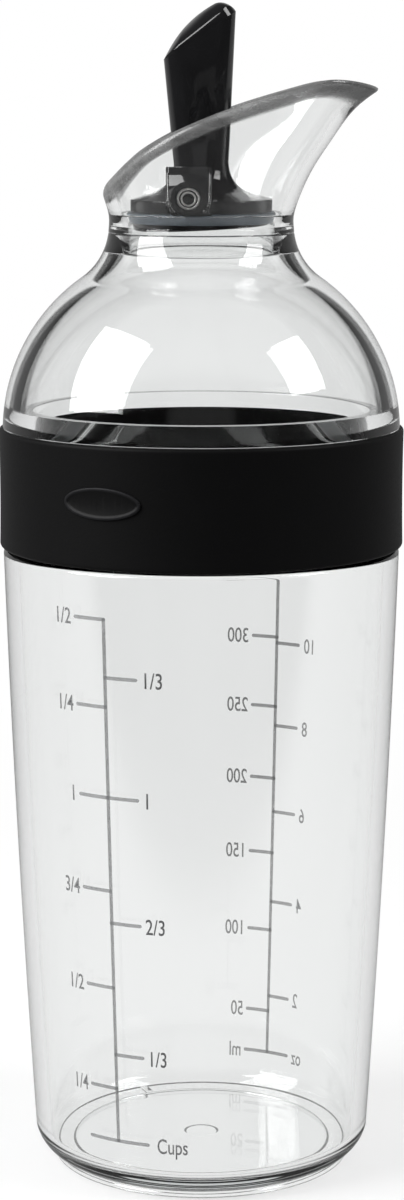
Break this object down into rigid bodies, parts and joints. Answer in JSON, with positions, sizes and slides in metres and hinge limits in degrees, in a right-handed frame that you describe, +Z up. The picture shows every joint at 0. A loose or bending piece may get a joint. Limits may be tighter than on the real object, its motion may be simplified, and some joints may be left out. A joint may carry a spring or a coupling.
{
  "type": "salad dressing shaker bottle",
  "caption": "Clear tapered shaker bottle with a screw-on domed lid, black grip band, beaked pour spout and a tilting stopper worked by a thumb lever.",
  "frame": {"origin": "centre of the foot ring, on the table", "axes": "+Z up along the bottle's axis, +X towards the spout's beak, +Y to its left"},
  "size_m": [0.076, 0.076, 0.22],
  "materials": {
    "clear_plastic": "clear polished plastic",
    "black_grip": "soft matte black grip",
    "black_gloss": "polished black plastic",
    "grey_silicone": "blue-grey satin silicone",
    "clear_silicone": "translucent silicone",
    "steel": "turned stainless steel"
  },
  "bodies": {
    "container": {"container": "clear_plastic"},
    "lid_carrier": {"lid_gasket": "clear_silicone"},
    "lid": {"lid_dome": "clear_plastic", "pour_spout": "clear_plastic", "grip_band": "black_grip"},
    "stopper": {"stopper_lever": "black_gloss", "lever_cap": "black_gloss", "stopper_seal": "grey_silicone", "seal_retainer": "black_gloss", "pivot_pin": "steel"}
  },
  "joints": [
    {"name": "lid_rise", "type": "slide", "parent": "container", "child": "lid_carrier", "axis": [0, 0, 1], "range_m": [0, 0.005]},
    {"name": "lid_unscrew", "type": "hinge", "parent": "lid_carrier", "child": "lid", "pos_m": [0, 0, 0.1374], "axis": [0, 0, 1], "range_deg": [0, 362]},
    {"name": "stopper_tilt", "type": "hinge", "parent": "lid", "child": "stopper", "pos_m": [-0.00216, 0, 0.185], "axis": [0, -1, 0], "range_deg": [0, 45]}
  ],
  "couplings": [
    {"joint": "lid_unscrew", "follows": "lid_rise", "rad_per_m": 1256.6}
  ]
}
